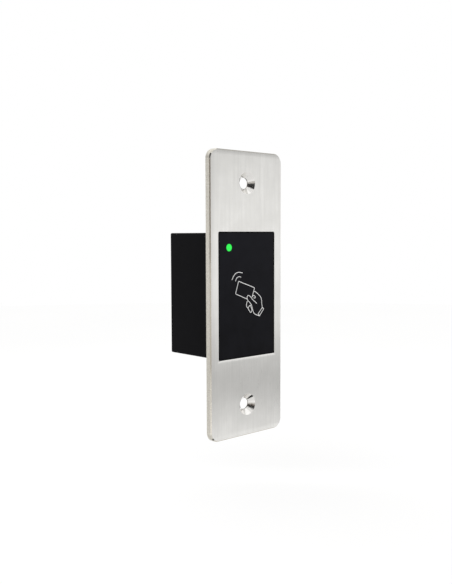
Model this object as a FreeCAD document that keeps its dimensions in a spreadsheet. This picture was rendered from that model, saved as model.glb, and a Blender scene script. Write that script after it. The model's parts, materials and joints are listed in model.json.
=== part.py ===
import FreeCAD, Part
import math
import os
import re
import Sketcher

# Flush-mounted RFID card reader. A stainless faceplate screws to the wall and carries a black
# plastic box that stands in the wall behind it. The box's bonded front panel fills the window in
# the plate. Nothing on the reader moves.
#
# X runs to the right seen from the room, Y into the wall and Z up. The origin is the middle of the
# faceplate's back face, so y = 0 is the plane of the wall.

DIMENSIONS = {
    # faceplate
    "plate_width": 40,
    "plate_height": 115,
    "plate_thickness": 2.5,
    "plate_corner": 4,
    "plate_bevel": 0.45,
    "screw_spacing": 89.7,
    "screw_hole": 4.5,
    "screw_sink": 8.8,
    "window_width": 31,
    "window_height": 50.5,
    "window_corner": 0.5,
    "window_bevel": 0.25,
    # shallow recess milled in the plate's back, which takes the box's flange and gasket
    "recess_width": 34,
    "recess_height": 74,
    "recess_corner": 2,
    "recess_depth": 0.6,
    # weld studs, nuts and washers that hold the box to the plate
    "stud_across": 10,
    "stud_up": 31,
    "stud_radius": 1.5,
    "stud_foot_radius": 2.1,
    "stud_foot": 0.7,
    "stud_end": 6.8,
    "stud_tip": 0.3,
    "nut_circumradius": 3.17,
    "nut_thickness": 2.4,
    "nut_face_radius": 2.6,
    "washer_radius": 3.5,
    "washer_thickness": 0.5,
    "fastener_gap": 0.1,
    # box
    "box_width": 30.6,
    "box_height": 50.1,
    "box_corner": 0.6,
    "box_depth": 27.8,
    "box_wall": 2,
    "box_front_wall": 1.5,
    "box_round": 0.4,
    "cavity_corner": 1,
    "gasket_thickness": 1,
    "flange_margin": 0.4,
    "flange_thickness": 2,
    "flange_bevel": 0.3,
    "ear_hole_radius": 1.7,
    # front panel and its adhesive film
    "panel_setback": 0.2,
    "panel_thickness": 1.2,
    "panel_bevel": 0.1,
    "adhesive_thickness": 0.2,
    "adhesive_margin": 0.4,
    # status light
    "light_across": -9.8,
    "light_up": 19.2,
    "guide_radius": 1.45,
    "guide_collar_radius": 2,
    "guide_collar": 1,
    "guide_gap": 0.05,
    "lamp_radius": 1.5,
    "lamp_straight": 3.8,
    "lamp_foot_radius": 1.9,
    "lamp_foot": 1,
    "lamp_pitch": 2.54,
    "lamp_gap": 0.3,
    # rear cover
    "cover_thickness": 2,
    "cover_gap": 0.1,
    "cover_bevel": 0.2,
    "cover_rim": 1,
    "cover_corner": 1.2,
    "cover_gasket_thickness": 0.8,
    "cover_screw_up": 20,
    "cover_boss_radius": 2.9,
    "cover_rib": 3,
    "insert_radius": 1.8,
    "insert_length": 4.5,
    "insert_bore": 1.25,
    "cover_screw_radius": 1.2,
    "cover_screw_head_radius": 2.35,
    "cover_screw_length": 8,
    "cover_screw_room": 1.1,
    "cover_cross": 2.4,
    "cover_cross_slot": 0.5,
    "cover_cross_depth": 1.2,
    "cover_hole_radius": 1.4,
    "cover_sink_radius": 2.45,
    # tamper window in the rear cover, over the light sensor
    "tamper_across": 7.5,
    "tamper_up": 9,
    "tamper_radius": 2.4,
    "tamper_foot_radius": 3.4,
    "tamper_foot": 0.8,
    # circuit board
    "board_width": 26,
    "board_height": 45.4,
    "board_corner": 0.6,
    "board_depth": 16.8,
    "board_thickness": 1.6,
    "board_notch_width": 6.4,
    "board_notch_height": 6,
    "post_across": 10.4,
    "post_up": 20.2,
    "post_radius": 2.5,
    "post_bore": 1.1,
    "post_bore_depth": 7,
    "board_screw_radius": 1.05,
    "board_screw_head_radius": 2,
    "board_screw_head": 1.3,
    "board_screw_length": 6,
    "board_cross": 2.1,
    "board_cross_slot": 0.42,
    "board_cross_depth": 1,
    "board_hole_radius": 1.2,
    # connector
    "header_pins": 8,
    "header_pitch": 2.5,
    "header_width": 22.4,
    "header_height": 6.4,
    "header_up": -9,
    "header_floor": 2,
    "header_wall": 0.8,
    "header_setback": 0.2,
    "header_slot_width": 2.2,
    "header_slot_depth": 5,
    "header_gap": 0.2,
    "header_pin": 0.64,
    "header_pin_up": 3.2,
    "header_pin_tail": 1.4,
    # antenna
    "bobbin_width": 25.4,
    "bobbin_height": 32.8,
    "bobbin_depth": 3.6,
    "bobbin_flange": 0.8,
    "bobbin_corner": 2.5,
    "core_width": 20,
    "core_height": 27.4,
    "core_corner": 1.5,
    "core_wall": 1,
    "coil_margin": 0.5,
    "lug_width": 4,
    "lug_height": 2.2,
    "lug_across": 5.5,
    "antenna_pin_radius": 0.32,
    "ferrite_thickness": 0.4,
    "ferrite_margin": 0.4,
    # solder tails and the board holes that they pass through
    "tail_radius": 0.25,
    "tail_length": 2.6,
    "tail_rise": 0.8,
    "tail_hole_radius": 0.45,
    # sounder
    "sounder_across": -6.5,
    "sounder_up": 9,
    "sounder_radius": 4.5,
    "sounder_depth": 5.5,
    "sounder_port_radius": 0.9,
    "sounder_pitch": 5,
    # microcontroller, with leads on four sides
    "controller_width": 7,
    "controller_height": 7,
    "controller_depth": 1,
    "controller_across": 6.5,
    "controller_up": -0.2,
    "controller_pitch": 0.8,
    "controller_leads": 8,
    # card reader chip, with leads on two sides
    "reader_width": 9.9,
    "reader_height": 3.9,
    "reader_depth": 1.5,
    "reader_across": -6.4,
    "reader_up": 0,
    "reader_pitch": 1.27,
    "reader_leads": 7,
    "lead_width": 0.4,
    "lead_reach": 1,
    "lead_depth": 0.2,
    "dimple_radius": 0.4,
    "dimple_inset": 0.8,
    "dimple_depth": 0.1,
    # crystal
    "crystal_width": 11,
    "crystal_height": 4.6,
    "crystal_depth": 3.5,
    "crystal_across": -4,
    "crystal_up": 14,
    # electrolytic capacitors
    "can_radius": 3.1,
    "can_depth": 7.2,
    "can_base": 6.6,
    "can_base_depth": 0.8,
    "can_across": 7,
    "can_up": -1.5,
    "can_spacing": 7,
    # voltage regulator
    "regulator_width": 6.5,
    "regulator_height": 2.6,
    "regulator_depth": 1.6,
    "regulator_across": 7.5,
    "regulator_up": 14.5,
    "regulator_tab": 3.1,
    "regulator_leg": 0.7,
    "regulator_pitch": 2.3,
    "regulator_reach": 1.3,
    "regulator_metal": 0.3,
    # power inductor
    "inductor_side": 6,
    "inductor_depth": 3,
    "inductor_across": -6.5,
    "inductor_up": -2,
    # diodes, transistors and chip parts
    "diode_width": 4.3,
    "diode_height": 2.6,
    "diode_depth": 2.2,
    "diode_spacing": 8,
    "diode_up": -14.6,
    "transistor_width": 1.3,
    "transistor_height": 2.9,
    "transistor_depth": 1,
    "transistor_across": -1.1,
    "transistor_up": 6.5,
    "transistor_spacing": 2.2,
    "chip_width": 0.8,
    "chip_height": 1.6,
    "chip_spacing": 1.7,
    "chip_row_start": -12,
    "resistor_depth": 0.45,
    "resistor_up": 5.4,
    "capacitor_depth": 0.8,
    "capacitor_up": -4.7,
}

NEAR = 1e-4  # edges this close to a place are taken to be at it
TURN_TO_Y = FreeCAD.Rotation(FreeCAD.Vector(1, 0, 0), -90)  # a primitive's own +Z becomes +Y

# Places along Y, as formulas over the dimensions
PANEL_FRONT = "(panel_setback - plate_thickness)"
PANEL_BACK = f"({PANEL_FRONT} + panel_thickness)"
BOX_FRONT = f"({PANEL_BACK} + adhesive_thickness)"
BOX_FLOOR = f"({BOX_FRONT} + box_front_wall)"
FLANGE_FRONT = "(gasket_thickness - recess_depth)"
FLANGE_BACK = f"({FLANGE_FRONT} + flange_thickness)"
COVER_FRONT = "(box_depth - cover_thickness)"
LEDGE = f"({COVER_FRONT} - cover_gasket_thickness)"
BOARD_BACK = "(board_depth + board_thickness)"

# Sizes that follow from others
CAVITY_WIDTH = "(box_width - 2 * box_wall)"
CAVITY_HEIGHT = "(box_height - 2 * box_wall)"
REBATE_WIDTH = "(box_width - 2 * cover_rim)"
REBATE_HEIGHT = "(box_height - 2 * cover_rim)"
COVER_WIDTH = f"({REBATE_WIDTH} - 2 * cover_gap)"
COVER_HEIGHT = f"({REBATE_HEIGHT} - 2 * cover_gap)"
FLANGE_WIDTH = "(recess_width - 2 * flange_margin)"
FLANGE_HEIGHT = "(recess_height - 2 * flange_margin)"

# Places across the reader, as (x, z) formulas
SIDES = (-1, 1)
STUD_PLACES = [(f"{side} * stud_across", f"{end} * stud_up") for end in SIDES for side in SIDES]
COVER_SCREW_PLACES = [("0", "cover_screw_up"), ("0", "-cover_screw_up")]
POST_PLACES = [("post_across", "post_up"), ("post_across", "-post_up"), ("-post_across", "-post_up")]
LIGHT_PLACE = ("light_across", "light_up")
TAMPER_PLACE = ("tamper_across", "tamper_up")
SOUNDER_PLACE = ("sounder_across", "sounder_up")
SOUNDER_TAIL_PLACES = [(f"sounder_across + {side} * sounder_pitch / 2", "sounder_up") for side in SIDES]
ANTENNA_PIN_PLACES = [(f"{side} * lug_across", "(-bobbin_height / 2 - lug_height / 2)") for side in SIDES]
HEADER_PIN_PLACES = [(f"({number} - (header_pins - 1) / 2) * header_pitch", "header_up")
                     for number in range(DIMENSIONS["header_pins"])]

document = FreeCAD.newDocument("rfid_card_reader")
sheet = document.addObject("Spreadsheet::Sheet", "dims")
for row, (alias, size) in enumerate(DIMENSIONS.items(), 1):
    sheet.set(f"A{row}", alias)
    sheet.set(f"B{row}", str(size))
    sheet.setAlias(f"B{row}", alias)
document.recompute()
parts = []


# ---------------------------------------------------------------- binding sizes to the sheet

def value(formula):
    """What a formula over the sheet's aliases comes to now."""
    return float(sheet.evalExpression(formula))


def bind(item, path, formula):
    """Tie one property of an object to a formula over the sheet's aliases."""
    def with_sheet(word):
        return f"dims.{word[0]}" if word[0] in DIMENSIONS else word[0]
    item.setExpression(path, re.sub(r"[a-z]\w*", with_sheet, formula))


def publish(item, node):
    """Name a finished piece and put it on the list of pieces to write."""
    item.Label = node
    parts.append(item)
    return item


# ---------------------------------------------------------------- sketches and body features

def new_body(name):
    return document.addObject("PartDesign::Body", name)


def new_sketch(body, name, depth):
    """An empty sketch that faces the room, at y = depth."""
    sketch = body.newObject("Sketcher::SketchObject", name)
    plane = next(item for item in body.Origin.OriginFeatures if item.Role == "XZ_Plane")
    sketch.AttachmentSupport = [(plane, "")]
    sketch.MapMode = "FlatFace"
    bind(sketch, "AttachmentOffset.Base.z", f"-({depth})")
    return sketch


def measure(sketch, kind, ends, formula):
    """Add one dimension to a sketch and tie it to the sheet."""
    index = sketch.addConstraint(Sketcher.Constraint(kind, *ends, value(formula)))
    bind(sketch, f"Constraints[{index}]", formula)


def draw_rectangle(sketch, width, height, corner="", x="0", z="0"):
    """Draw a rectangle round (x, z), with arcs at its corners if a corner radius is given."""
    radius = value(corner) if corner else 0
    left, right = value(f"{x} - {width} / 2"), value(f"{x} + {width} / 2")
    low, high = value(f"{z} - {height} / 2"), value(f"{z} + {height} / 2")
    centres = [(right - radius, low + radius), (right - radius, high - radius),
               (left + radius, high - radius), (left + radius, low + radius)]
    sides = []
    for quarter, kind in enumerate(("Horizontal", "Vertical", "Horizontal", "Vertical")):
        out = FreeCAD.Rotation(FreeCAD.Vector(0, 0, 1), 90 * (quarter - 1)).multVec(FreeCAD.Vector(radius))
        ends = [FreeCAD.Vector(*centres[quarter - 1]) + out, FreeCAD.Vector(*centres[quarter]) + out]
        sides.append(sketch.addGeometry(Part.LineSegment(*ends)))
        sketch.addConstraint(Sketcher.Constraint(kind, sides[-1]))
    arcs = []
    for quarter, side in enumerate(sides):
        following = sides[(quarter + 1) % 4]
        if corner:
            circle = Part.Circle(FreeCAD.Vector(*centres[quarter]), FreeCAD.Vector(0, 0, 1), radius)
            start = (quarter - 1) * math.pi / 2
            arcs.append(sketch.addGeometry(Part.ArcOfCircle(circle, start, start + math.pi / 2)))
            sketch.addConstraint(Sketcher.Constraint("Tangent", side, 2, arcs[-1], 1))
            sketch.addConstraint(Sketcher.Constraint("Tangent", arcs[-1], 2, following, 1))
        else:
            sketch.addConstraint(Sketcher.Constraint("Coincident", side, 2, following, 1))
    for arc in arcs[1:]:
        sketch.addConstraint(Sketcher.Constraint("Equal", arcs[0], arc))
    if corner:
        measure(sketch, "Radius", (arcs[0],), corner)
    measure(sketch, "DistanceX", (sides[3], 1, sides[1], 1), width)
    measure(sketch, "DistanceY", (sides[0], 1, sides[2], 1), height)
    measure(sketch, "DistanceX", (-1, 1, sides[3], 1), f"{x} - {width} / 2")
    measure(sketch, "DistanceY", (-1, 1, sides[0], 1), f"{z} - {height} / 2")


def draw_circles(sketch, radius, places):
    """Draw a circle of one radius round each (x, z)."""
    for x, z in places:
        centre = FreeCAD.Vector(value(x), value(z))
        circle = sketch.addGeometry(Part.Circle(centre, FreeCAD.Vector(0, 0, 1), value(radius)))
        measure(sketch, "Radius", (circle,), radius)
        measure(sketch, "DistanceX", (-1, 1, circle, 3), x)
        measure(sketch, "DistanceY", (-1, 1, circle, 3), z)


def add_pad(body, sketch, length):
    """Add material from the sketch towards the wall."""
    pad = body.newObject("PartDesign::Pad", f"{sketch.Name}_pad")
    pad.Profile = sketch
    pad.Reversed = True
    bind(pad, "Length", length)
    document.recompute()
    return pad


def add_pocket(body, sketch, length):
    """Cut from the sketch towards the wall, and make sure that something was cut."""
    volume = body.Shape.Volume
    pocket = body.newObject("PartDesign::Pocket", f"{sketch.Name}_pocket")
    pocket.Profile = sketch
    bind(pocket, "Length", length)
    document.recompute()
    if body.Shape.Volume >= volume:
        raise RuntimeError(f"{pocket.Name} cuts nothing")
    return pocket


def add_countersinks(body, sketch, hole, sink):
    """Cut countersunk through holes of two diameters, open towards the room."""
    volume = body.Shape.Volume
    holes = body.newObject("PartDesign::Hole", f"{sketch.Name}_holes")
    holes.Profile = sketch
    document.recompute()
    holes.ThreadType = "None"
    holes.DepthType = "ThroughAll"
    bind(holes, "Diameter", hole)
    holes.HoleCutType = "Countersink"
    holes.HoleCutCountersinkAngle = 90
    bind(holes, "HoleCutDiameter", sink)
    document.recompute()
    if body.Shape.Volume >= volume:
        raise RuntimeError(f"{holes.Name} cuts nothing")
    return holes


def rim(base, depth, width, height):
    """The edges at y = depth that run round a rectangle centred on the Y axis."""
    edges = []
    for number, edge in enumerate(base.Shape.Edges, 1):
        box = edge.BoundBox
        off_depth = max(abs(box.YMin - value(depth)), abs(box.YMax - value(depth)))
        off_side = max(abs(box.XMin), abs(box.XMax)) - value(width) / 2
        off_end = max(abs(box.ZMin), abs(box.ZMax)) - value(height) / 2
        if off_depth < NEAR and min(abs(off_side), abs(off_end)) < NEAR:
            edges.append(f"Edge{number}")
    return edges


def add_bevel(body, base, edges, size):
    bevel = body.newObject("PartDesign::Chamfer", f"{base.Name}_bevel")
    bevel.Base = (base, edges)
    bind(bevel, "Size", size)
    document.recompute()
    return bevel


def add_round(body, base, edges, radius):
    fillet = body.newObject("PartDesign::Fillet", f"{base.Name}_round")
    fillet.Base = (base, edges)
    bind(fillet, "Radius", radius)
    document.recompute()
    return fillet


# ---------------------------------------------------------------- primitives and booleans

def block(name, width, height, depth, x, z, y):
    """A box round (x, z) that runs depth towards the wall from y."""
    box = document.addObject("Part::Box", name)
    bind(box, "Length", width)
    bind(box, "Width", depth)
    bind(box, "Height", height)
    bind(box, "Placement.Base.x", f"{x} - {width} / 2")
    bind(box, "Placement.Base.y", y)
    bind(box, "Placement.Base.z", f"{z} - {height} / 2")
    return box


def lay_along_y(item, x, z, y):
    """Turn a round primitive to run towards the wall from (x, y, z)."""
    item.Placement = FreeCAD.Placement(FreeCAD.Vector(), TURN_TO_Y)
    bind(item, "Placement.Base.x", x)
    bind(item, "Placement.Base.y", y)
    bind(item, "Placement.Base.z", z)
    return item


def rod(name, radius, depth, x, z, y):
    cylinder = document.addObject("Part::Cylinder", name)
    bind(cylinder, "Radius", radius)
    bind(cylinder, "Height", depth)
    return lay_along_y(cylinder, x, z, y)


def taper(name, front_radius, back_radius, depth, x, z, y):
    cone = document.addObject("Part::Cone", name)
    bind(cone, "Radius1", front_radius)
    bind(cone, "Radius2", back_radius)
    bind(cone, "Height", depth)
    return lay_along_y(cone, x, z, y)


def fuse(name, *items):
    union = document.addObject("Part::MultiFuse", name)
    union.Shapes = list(items)
    return union


def cut(name, base, *tools):
    """Take one tool, or several at once, out of a base."""
    difference = document.addObject("Part::Cut", name)
    difference.Base = base
    difference.Tool = tools[0] if len(tools) == 1 else fuse(f"{name}_tools", *tools)
    return difference


def group(node, items):
    """Publish alike pieces as one node of separate solids."""
    compound = document.addObject("Part::Compound", node)
    compound.Links = items
    return publish(compound, node)


def cross_recess(name, across, slot, depth, x, z, y):
    """The cross that a screwdriver fits."""
    upright = block(f"{name}_upright", slot, across, depth, x, z, y)
    level = block(f"{name}_level", across, slot, depth, x, z, y)
    return fuse(name, upright, level)


# ---------------------------------------------------------------- faceplate and its fasteners

def make_faceplate():
    body = new_body("faceplate")
    outline = new_sketch(body, "plate_outline", "-plate_thickness")
    draw_rectangle(outline, "plate_width", "plate_height", "plate_corner")
    blank = add_pad(body, outline, "plate_thickness")
    add_bevel(body, blank, rim(blank, "-plate_thickness", "plate_width", "plate_height"), "plate_bevel")

    recess = new_sketch(body, "plate_recess", "-recess_depth")
    draw_rectangle(recess, "recess_width", "recess_height", "recess_corner")
    add_pocket(body, recess, "recess_depth")

    screws = new_sketch(body, "plate_screws", "-plate_thickness")
    draw_circles(screws, "screw_hole / 2", [("0", "screw_spacing / 2"), ("0", "-screw_spacing / 2")])
    add_countersinks(body, screws, "screw_hole", "screw_sink")

    window = new_sketch(body, "plate_window", "-plate_thickness")
    draw_rectangle(window, "window_width", "window_height", "window_corner")
    opening = add_pocket(body, window, "plate_thickness")
    add_bevel(body, opening, rim(opening, "-plate_thickness", "window_width", "window_height"),
              "window_bevel")
    publish(body, "faceplate")


def make_stud_fasteners():
    studs, washers, nuts = [], [], []
    nut_front = f"({FLANGE_BACK} + washer_thickness)"
    hole = "(stud_radius + fastener_gap)"
    for number, (x, z) in enumerate(STUD_PLACES, 1):
        foot = rod(f"stud_foot_{number}", "stud_foot_radius", "stud_foot", x, z, "-recess_depth")
        shank = rod(f"stud_shank_{number}", "stud_radius", "stud_end + recess_depth - stud_tip", x, z,
                    "-recess_depth")
        tip = taper(f"stud_tip_{number}", "stud_radius", "stud_radius - stud_tip", "stud_tip", x, z,
                    "stud_end - stud_tip")
        studs.append(fuse(f"stud_{number}", foot, shank, tip))

        disc = rod(f"washer_disc_{number}", "washer_radius", "washer_thickness", x, z, FLANGE_BACK)
        bore = rod(f"washer_bore_{number}", hole, "washer_thickness", x, z, FLANGE_BACK)
        washers.append(cut(f"washer_{number}", disc, bore))

        prism = document.addObject("Part::Prism", f"nut_prism_{number}")
        prism.Polygon = 6
        bind(prism, "Circumradius", "nut_circumradius")
        bind(prism, "Height", "nut_thickness")
        lay_along_y(prism, x, z, nut_front)
        bevel = taper(f"nut_bevel_{number}", "nut_face_radius + 2 * nut_thickness", "nut_face_radius",
                      "nut_thickness", x, z, nut_front)
        bevelled = document.addObject("Part::MultiCommon", f"nut_bevelled_{number}")
        bevelled.Shapes = [prism, bevel]
        thread = rod(f"nut_thread_{number}", hole, "nut_thickness", x, z, nut_front)
        nuts.append(cut(f"nut_{number}", bevelled, thread))
    group("faceplate_studs", studs)
    group("stud_washers", washers)
    group("stud_nuts", nuts)


def make_housing_gasket():
    body = new_body("housing_gasket")
    outline = new_sketch(body, "gasket_outline", "-recess_depth")
    draw_rectangle(outline, FLANGE_WIDTH, FLANGE_HEIGHT, "recess_corner")
    draw_rectangle(outline, "window_width", "window_height", "window_corner")
    draw_circles(outline, "stud_foot_radius + fastener_gap", STUD_PLACES)
    add_pad(body, outline, "gasket_thickness")
    publish(body, "housing_gasket")


# ---------------------------------------------------------------- box, front panel and rear cover

def make_housing():
    body = new_body("housing")
    outline = new_sketch(body, "box_outline", BOX_FRONT)
    draw_rectangle(outline, "box_width", "box_height", "box_corner")
    block_pad = add_pad(body, outline, f"box_depth - {BOX_FRONT}")
    add_round(body, block_pad, rim(block_pad, "box_depth", "box_width", "box_height"), "box_round")

    flange = new_sketch(body, "flange_outline", FLANGE_FRONT)
    draw_rectangle(flange, FLANGE_WIDTH, FLANGE_HEIGHT, "recess_corner")
    draw_circles(flange, "ear_hole_radius", STUD_PLACES)
    ears = add_pad(body, flange, "flange_thickness")
    add_bevel(body, ears, rim(ears, FLANGE_BACK, FLANGE_WIDTH, FLANGE_HEIGHT), "flange_bevel")

    cavity = new_sketch(body, "box_cavity", BOX_FLOOR)
    draw_rectangle(cavity, CAVITY_WIDTH, CAVITY_HEIGHT, "cavity_corner")
    add_pocket(body, cavity, f"box_depth - {BOX_FLOOR}")

    bosses = new_sketch(body, "cover_bosses", BOX_FLOOR)
    draw_circles(bosses, "cover_boss_radius", COVER_SCREW_PLACES)
    add_pad(body, bosses, f"{COVER_FRONT} - {BOX_FLOOR}")
    ribs = new_sketch(body, "boss_ribs", BOX_FLOOR)
    rib_height = f"({CAVITY_HEIGHT} / 2 - cover_screw_up + box_wall / 2)"
    for end in SIDES:
        draw_rectangle(ribs, "cover_rib", rib_height, z=f"{end} * (cover_screw_up + {rib_height} / 2)")
    add_pad(body, ribs, f"{LEDGE} - {BOX_FLOOR}")
    posts = new_sketch(body, "board_posts", BOX_FLOOR)
    draw_circles(posts, "post_radius", POST_PLACES)
    add_pad(body, posts, f"board_depth - {BOX_FLOOR}")

    rebate = new_sketch(body, "cover_rebate", LEDGE)
    draw_rectangle(rebate, REBATE_WIDTH, REBATE_HEIGHT, "cover_corner")
    draw_circles(rebate, "cover_boss_radius", COVER_SCREW_PLACES)
    add_pocket(body, rebate, f"box_depth - {LEDGE}")

    light = new_sketch(body, "light_hole", BOX_FRONT)
    draw_circles(light, "guide_radius + guide_gap", [LIGHT_PLACE])
    add_pocket(body, light, "box_front_wall")
    post_bores = new_sketch(body, "post_bores", "board_depth - post_bore_depth")
    draw_circles(post_bores, "post_bore", POST_PLACES)
    add_pocket(body, post_bores, "post_bore_depth")
    insert_bores = new_sketch(body, "insert_bores", f"{COVER_FRONT} - insert_length")
    draw_circles(insert_bores, "insert_radius", COVER_SCREW_PLACES)
    add_pocket(body, insert_bores, "insert_length")
    tip_bores = new_sketch(body, "screw_tip_bores", "box_depth - cover_screw_length - cover_screw_room")
    draw_circles(tip_bores, "cover_hole_radius", COVER_SCREW_PLACES)
    add_pocket(body, tip_bores, "cover_screw_length")
    publish(body, "housing")


def make_front_panel():
    body = new_body("front_panel")
    outline = new_sketch(body, "panel_outline", PANEL_FRONT)
    draw_rectangle(outline, "box_width", "box_height", "box_corner")
    film = add_pad(body, outline, "panel_thickness")
    add_bevel(body, film, rim(film, PANEL_FRONT, "box_width", "box_height"), "panel_bevel")
    light = new_sketch(body, "panel_light_hole", PANEL_FRONT)
    draw_circles(light, "guide_radius + guide_gap", [LIGHT_PLACE])
    add_pocket(body, light, "panel_thickness")
    publish(body, "front_panel")


def make_panel_adhesive():
    body = new_body("panel_adhesive")
    outline = new_sketch(body, "adhesive_outline", PANEL_BACK)
    draw_rectangle(outline, "(box_width - 2 * adhesive_margin)", "(box_height - 2 * adhesive_margin)",
                   "box_corner")
    draw_circles(outline, "guide_collar_radius", [LIGHT_PLACE])
    add_pad(body, outline, "adhesive_thickness")
    publish(body, "panel_adhesive")


def make_rear_cover():
    body = new_body("cover_plate")
    outline = new_sketch(body, "cover_outline", COVER_FRONT)
    draw_rectangle(outline, COVER_WIDTH, COVER_HEIGHT, "cover_corner")
    slab = add_pad(body, outline, "cover_thickness")
    add_bevel(body, slab, rim(slab, "box_depth", COVER_WIDTH, COVER_HEIGHT), "cover_bevel")

    connector = new_sketch(body, "cover_connector", COVER_FRONT)
    draw_rectangle(connector, "(header_width + 2 * header_gap)", "(header_height + 2 * header_gap)",
                   "header_gap", z="header_up")
    add_pocket(body, connector, "cover_thickness")
    holes = new_sketch(body, "cover_holes", COVER_FRONT)
    draw_circles(holes, "cover_hole_radius", COVER_SCREW_PLACES)
    draw_circles(holes, "tamper_radius + fastener_gap", [TAMPER_PLACE])
    add_pocket(body, holes, "cover_thickness")

    depth = "(cover_sink_radius - cover_hole_radius)"
    sinks = [taper(f"cover_sink_{number}", "cover_hole_radius", "cover_sink_radius", depth, x, z,
                   f"box_depth - {depth}") for number, (x, z) in enumerate(COVER_SCREW_PLACES, 1)]
    publish(cut("sunk_cover", body, *sinks), "rear_cover")


def make_rear_cover_gasket():
    body = new_body("rear_cover_gasket")
    outline = new_sketch(body, "cover_gasket_outline", LEDGE)
    draw_rectangle(outline, COVER_WIDTH, COVER_HEIGHT, "cover_corner")
    draw_rectangle(outline, CAVITY_WIDTH, CAVITY_HEIGHT, "cavity_corner")
    add_pad(body, outline, "cover_gasket_thickness")
    publish(body, "rear_cover_gasket")


def make_cover_fasteners():
    screws, inserts = [], []
    head_depth = "(cover_screw_head_radius - cover_screw_radius)"
    # the heads seat in the cover's sinks, a little below its face
    head_face = "(box_depth - cover_sink_radius + cover_screw_head_radius)"
    for number, (x, z) in enumerate(COVER_SCREW_PLACES, 1):
        shank = rod(f"cover_shank_{number}", "cover_screw_radius", f"cover_screw_length - {head_depth}",
                    x, z, f"{head_face} - cover_screw_length")
        head = taper(f"cover_head_{number}", "cover_screw_radius", "cover_screw_head_radius", head_depth,
                     x, z, f"{head_face} - {head_depth}")
        recess = cross_recess(f"cover_cross_{number}", "cover_cross", "cover_cross_slot",
                              "cover_cross_depth", x, z, f"{head_face} - cover_cross_depth")
        screws.append(cut(f"cover_screw_{number}", fuse(f"cover_blank_{number}", shank, head), recess))

        sleeve = rod(f"insert_sleeve_{number}", "insert_radius", "insert_length", x, z,
                     f"{COVER_FRONT} - insert_length")
        thread = rod(f"insert_thread_{number}", "insert_bore", "insert_length", x, z,
                     f"{COVER_FRONT} - insert_length")
        inserts.append(cut(f"cover_insert_{number}", sleeve, thread))
    group("rear_cover_screws", screws)
    group("cover_inserts", inserts)


def make_tamper_window():
    start = f"({COVER_FRONT} - tamper_foot)"
    lens = rod("tamper_lens", "tamper_radius", f"box_depth - {start}", *TAMPER_PLACE, start)
    foot = rod("tamper_foot_disc", "tamper_foot_radius", "tamper_foot", *TAMPER_PLACE, start)
    publish(fuse("tamper_pane", lens, foot), "tamper_window")


# ---------------------------------------------------------------- status light and light sensor

def make_light_guide():
    end = "(board_depth - lamp_straight - lamp_radius - lamp_gap)"
    pipe = rod("guide_pipe", "guide_radius", f"{end} - {PANEL_FRONT}", *LIGHT_PLACE, PANEL_FRONT)
    collar = rod("guide_collar_disc", "guide_collar_radius", "guide_collar", *LIGHT_PLACE, BOX_FLOOR)
    publish(fuse("guide", pipe, collar), "led_light_guide")


def lamp_tails(place):
    """Where the two tails of a round-nosed package pass through the board."""
    x, z = place
    return [(f"{x} + {side} * lamp_pitch / 2", z) for side in SIDES]


def make_lamp(node, place, faces_wall):
    """A round-nosed 3 mm package on the board, with two solder tails through it."""
    def start(length):
        return BOARD_BACK if faces_wall else f"(board_depth - {length})"
    straight = rod(f"{node}_straight", "lamp_radius", "lamp_straight", *place, start("lamp_straight"))
    foot = rod(f"{node}_foot", "lamp_foot_radius", "lamp_foot", *place, start("lamp_foot"))
    nose = document.addObject("Part::Sphere", f"{node}_nose")
    bind(nose, "Radius", "lamp_radius")
    lay_along_y(nose, *place, f"{BOARD_BACK} + lamp_straight" if faces_wall else start("lamp_straight"))
    publish(fuse(f"{node}_package", straight, foot, nose), node)
    tail_start = f"{BOARD_BACK} - tail_length" if faces_wall else "board_depth"
    group(f"{node}_leads", [rod(f"{node}_tail", "tail_radius", "tail_length", x, z, tail_start)
                            for x, z in lamp_tails(place)])


# ---------------------------------------------------------------- antenna

def make_antenna():
    body = new_body("antenna_bobbin")
    outline = new_sketch(body, "bobbin_outline", BOX_FLOOR)
    draw_rectangle(outline, "bobbin_width", "bobbin_height", "bobbin_corner")
    draw_rectangle(outline, "(core_width - 2 * core_wall)", "(core_height - 2 * core_wall)", "core_wall")
    add_pad(body, outline, "bobbin_depth")
    channel = new_sketch(body, "winding_channel", f"{BOX_FLOOR} + bobbin_flange")
    draw_rectangle(channel, "2 * bobbin_width", "2 * bobbin_height")
    draw_rectangle(channel, "core_width", "core_height", "core_corner")
    add_pocket(body, channel, "bobbin_depth - 2 * bobbin_flange")
    lugs = new_sketch(body, "terminal_lugs", BOX_FLOOR)
    for side in SIDES:
        draw_rectangle(lugs, "lug_width", "(lug_height + core_wall)", x=f"{side} * lug_across",
                       z="(core_wall - bobbin_height - lug_height) / 2")
    add_pad(body, lugs, "bobbin_flange")
    publish(body, "antenna_bobbin")

    winding = new_body("antenna_coil")
    ring = new_sketch(winding, "coil_outline", f"{BOX_FLOOR} + bobbin_flange")
    draw_rectangle(ring, "(bobbin_width - 2 * coil_margin)", "(bobbin_height - 2 * coil_margin)",
                   "bobbin_corner")
    draw_rectangle(ring, "core_width", "core_height", "core_corner")
    add_pad(winding, ring, "bobbin_depth - 2 * bobbin_flange")
    publish(winding, "antenna_coil")

    start = f"({BOX_FLOOR} + bobbin_flange)"
    group("antenna_pins", [rod("antenna_pin", "antenna_pin_radius", f"{BOARD_BACK} + tail_rise - {start}",
                               x, z, start) for x, z in ANTENNA_PIN_PLACES])

    screen = new_body("ferrite_sheet")
    pane = new_sketch(screen, "ferrite_outline", f"{BOX_FLOOR} + bobbin_depth")
    draw_rectangle(pane, "(bobbin_width - 2 * ferrite_margin)", "(bobbin_height - 2 * ferrite_margin)",
                   "core_corner")
    add_pad(screen, pane, "ferrite_thickness")
    publish(screen, "ferrite_sheet")


# ---------------------------------------------------------------- connector

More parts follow.
